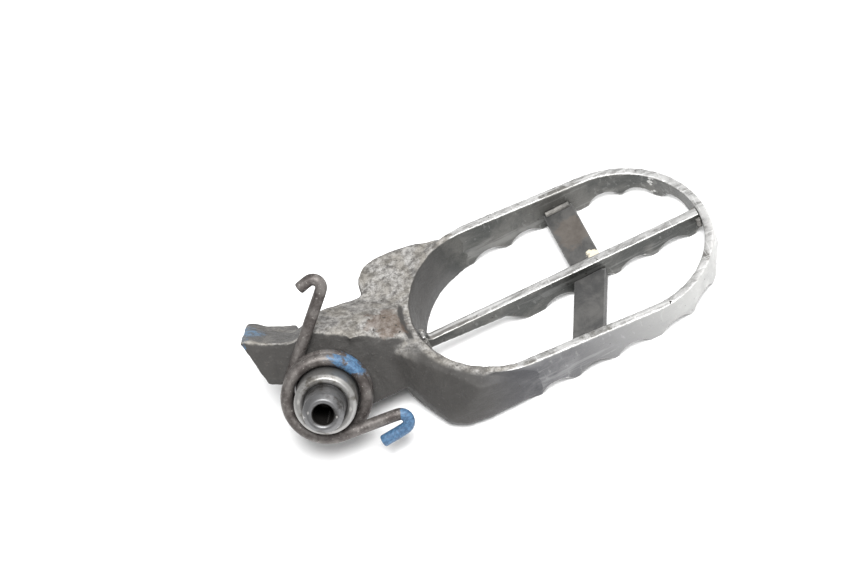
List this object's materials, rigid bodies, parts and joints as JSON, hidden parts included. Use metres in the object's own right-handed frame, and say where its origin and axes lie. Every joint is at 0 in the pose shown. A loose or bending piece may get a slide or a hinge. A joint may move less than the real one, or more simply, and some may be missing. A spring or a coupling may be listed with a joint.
{
  "type": "foot peg",
  "caption": "Folding off-road foot peg: toothed oval platform with a centre bar and cross straps on a forged neck, a slanted pivot pin and a loose return spring, lying teeth down",
  "frame": {"origin": "the middle of the pivot pin's free end, on its axis (mount pin_end). The pivot centre, in the platform's middle plane, is 20.85 mm down the pin's axis from it", "axes": "+X from the pivot to the platform's tip, along the tooth rows; +Z away from the teeth, which is the underside in use; +Y completes the right-handed frame. For mounting, turn the part half a turn about X so that the teeth face up."},
  "size_m": [0.1175, 0.0499, 0.0381],
  "materials": {
    "worn_paint": "rough worn paint",
    "worn_steel": "scratched",
    "dark_steel": "worn paint",
    "bare_steel": "turned",
    "pin_steel": "turned",
    "spring_steel": "oxidised",
    "weld_metal": "as welded"
  },
  "bodies": {
    "peg": {"neck_forging": "worn_paint", "rim_band": "worn_steel", "centre_tread_bar": "worn_steel", "cross_strap_far": "dark_steel", "cross_strap_near": "dark_steel", "pivot_tube": "bare_steel", "return_spring": "spring_steel", "weld_bar_root": "weld_metal", "weld_bar_tip": "weld_metal", "weld_strap_far": "weld_metal", "weld_strap_near": "weld_metal", "weld_strap_centre": "weld_metal"},
    "pin": {"pivot_pin": "pin_steel"}
  },
  "joints": [
    {"name": "peg_fold", "type": "hinge", "parent": "peg", "child": "pin", "pos_m": [0.0029, 0.01593, -0.01313], "axis": [-0.1392, -0.7641, 0.6299], "range_deg": [0, 50], "stiffness_Nm_per_rad": 0.5, "deforming": ["return_spring"]}
  ]
}
